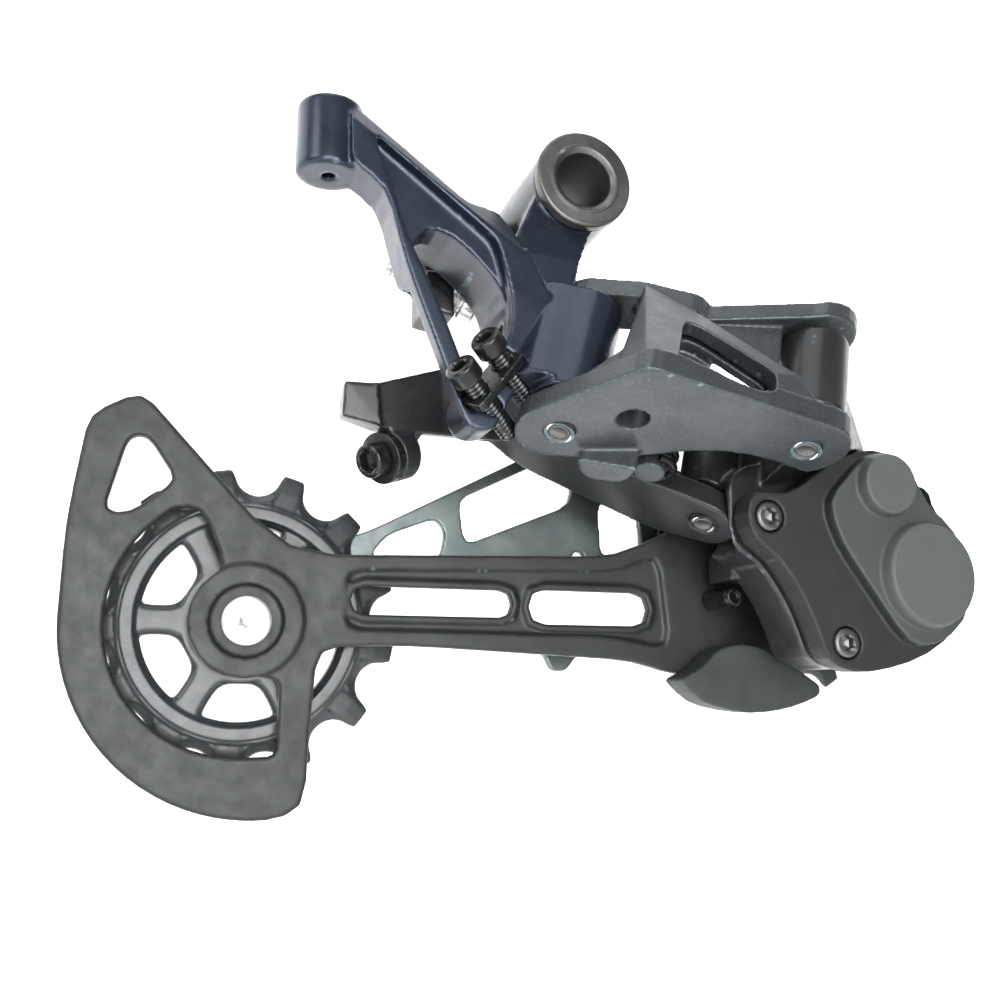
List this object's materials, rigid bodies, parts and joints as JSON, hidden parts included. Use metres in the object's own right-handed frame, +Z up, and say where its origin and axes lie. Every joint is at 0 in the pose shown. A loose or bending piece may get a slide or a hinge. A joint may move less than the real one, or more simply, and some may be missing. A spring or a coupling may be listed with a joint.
{
  "type": "rear bicycle derailleur",
  "caption": "Long-cage rear bicycle derailleur with a friction clutch: a swinging parallelogram moves a sprung cage with guide and tension pulleys.",
  "frame": {"origin": "on the hanger bolt's axis, in the plane where the bracket meets the frame's hanger", "axes": "+X to the front of the bicycle, +Y inboard towards the wheel, +Z up"},
  "size_m": [0.1724, 0.0632, 0.1275],
  "materials": {
    "knuckle_blue": "satin metallic paint, dark blue",
    "link_grey": "fine satin paint, cool grey",
    "black_satin": "satin black paint",
    "cage_black": "fine textured black paint",
    "inner_grey": "satin anodised, warm grey",
    "cover_charcoal": "matt textured moulding",
    "bumper_charcoal": "matt textured moulding",
    "pulley_black": "satin moulding",
    "axle_steel": "turned, dark plated",
    "screw_steel": "black zinc plated",
    "bright_steel": "bright turned",
    "bronze_bush": "sintered bronze",
    "spring_steel": "black oiled",
    "seal_rubber": "matt rubber"
  },
  "bodies": {
    "bracket": {"bracket_link": "screw_steel", "hanger_bolt": "screw_steel", "b_axle": "axle_steel"},
    "b_tension_screw": {"b_tension_screw": "bright_steel"},
    "b_knuckle": {"b_knuckle": "knuckle_blue", "b_bush_outboard": "bronze_bush", "b_bush_inboard": "bronze_bush", "bush_outer_b": "bronze_bush", "bush_inner_b": "bronze_bush", "limit_stop_plate": "screw_steel"},
    "limit_screw_top": {"limit_screw_top": "screw_steel"},
    "limit_screw_low": {"limit_screw_low": "screw_steel"},
    "outer_link": {"outer_link": "link_grey", "outer_pin_b": "axle_steel", "outer_pin_p": "axle_steel", "return_spring": "spring_steel"},
    "inner_link": {"inner_link": "black_satin", "inner_pin_b": "axle_steel", "inner_pin_p": "axle_steel", "cable_clamp_washer": "screw_steel"},
    "cable_clamp_bolt": {"cable_clamp_bolt": "screw_steel"},
    "p_knuckle": {"p_knuckle": "black_satin", "bush_outer_p": "bronze_bush", "bush_inner_p": "bronze_bush", "p_bush": "bronze_bush", "cage_spring": "spring_steel", "friction_band": "bright_steel", "clutch_gasket": "seal_rubber", "clutch_cover": "cover_charcoal", "cover_bolt_1": "axle_steel", "cover_bolt_2": "axle_steel"},
    "clutch_switch": {"clutch_switch_lever": "screw_steel"},
    "cage": {"p_axle": "axle_steel", "roller_clutch": "bright_steel", "cage_seal": "seal_rubber", "cage_outer_plate": "cage_black", "cage_inner_plate": "inner_grey", "tension_sleeve": "bright_steel", "tension_cap_outboard": "screw_steel", "tension_cap_inboard": "screw_steel", "guide_sleeve": "bright_steel", "guide_cap_outboard": "screw_steel", "guide_cap_inboard": "screw_steel", "tension_bolt": "bright_steel", "guide_bolt": "screw_steel", "cage_bumper": "bumper_charcoal", "stop_pin": "screw_steel"},
    "tension_pulley": {"tension_pulley": "pulley_black"},
    "guide_pulley": {"guide_pulley": "pulley_black"}
  },
  "joints": [
    {"name": "b_pivot", "type": "hinge", "parent": "bracket", "child": "b_knuckle", "pos_m": [0.0202, -0.016, 0.0106], "axis": [0, -1, 0], "range_deg": [0, 15]},
    {"name": "b_tension_screw_travel", "type": "slide", "parent": "bracket", "child": "b_tension_screw", "axis": [-0.9417, 0, 0.3363], "range_m": [-0.0015, 0.0004]},
    {"name": "limit_screw_top_travel", "type": "slide", "parent": "b_knuckle", "child": "limit_screw_top", "axis": [0.7047, 0.4891, -0.514], "range_m": [-0.0012, 0.0008]},
    {"name": "limit_screw_low_travel", "type": "slide", "parent": "b_knuckle", "child": "limit_screw_low", "axis": [0.7047, 0.4891, -0.514], "range_m": [-0.0012, 0.0008]},
    {"name": "link_swing", "type": "hinge", "parent": "b_knuckle", "child": "outer_link", "pos_m": [0.01701, -0.03184, -0.02618], "axis": [0.3301, 0.2801, 0.9014], "range_deg": [0, 34], "stiffness_Nm_per_rad": 0.9, "springref_deg": -20.05},
    {"name": "inner_link_swing", "type": "hinge", "parent": "b_knuckle", "child": "inner_link", "pos_m": [0.0144, -0.0046, -0.02259], "axis": [0.3301, 0.2801, 0.9014], "range_deg": [0, 34]},
    {"name": "p_knuckle_swing", "type": "hinge", "parent": "outer_link", "child": "p_knuckle", "pos_m": [0.05894, -0.04249, -0.03045], "axis": [0.3301, 0.2801, 0.9014], "range_deg": [-34, 0]},
    {"name": "cable_clamp_travel", "type": "slide", "parent": "inner_link", "child": "cable_clamp_bolt", "axis": [-0.8004, -0.5003, -0.3302], "range_m": [0, 0.002]},
    {"name": "clutch_switch_turn", "type": "hinge", "parent": "p_knuckle", "child": "clutch_switch", "pos_m": [0.0926, -0.026, -0.0476], "axis": [0, -1, 0], "range_deg": [0, 75]},
    {"name": "cage_pivot", "type": "hinge", "parent": "p_knuckle", "child": "cage", "pos_m": [0.0848, -0.022, -0.0639], "axis": [0, -1, 0], "range_deg": [0, 100], "stiffness_Nm_per_rad": 0.45, "springref_deg": -28.65},
    {"name": "tension_pulley_spin", "type": "hinge", "parent": "cage", "child": "tension_pulley", "pos_m": [-0.037, -0.0016, -0.073], "axis": [0, -1, 0], "continuous": true},
    {"name": "guide_pulley_spin", "type": "hinge", "parent": "cage", "child": "guide_pulley", "pos_m": [0.0757, -0.0016, -0.0592], "axis": [0, -1, 0], "continuous": true}
  ],
  "couplings": [
    {"joint": "inner_link_swing", "follows": "link_swing", "ratio": 1},
    {"joint": "p_knuckle_swing", "follows": "link_swing", "ratio": -1}
  ]
}
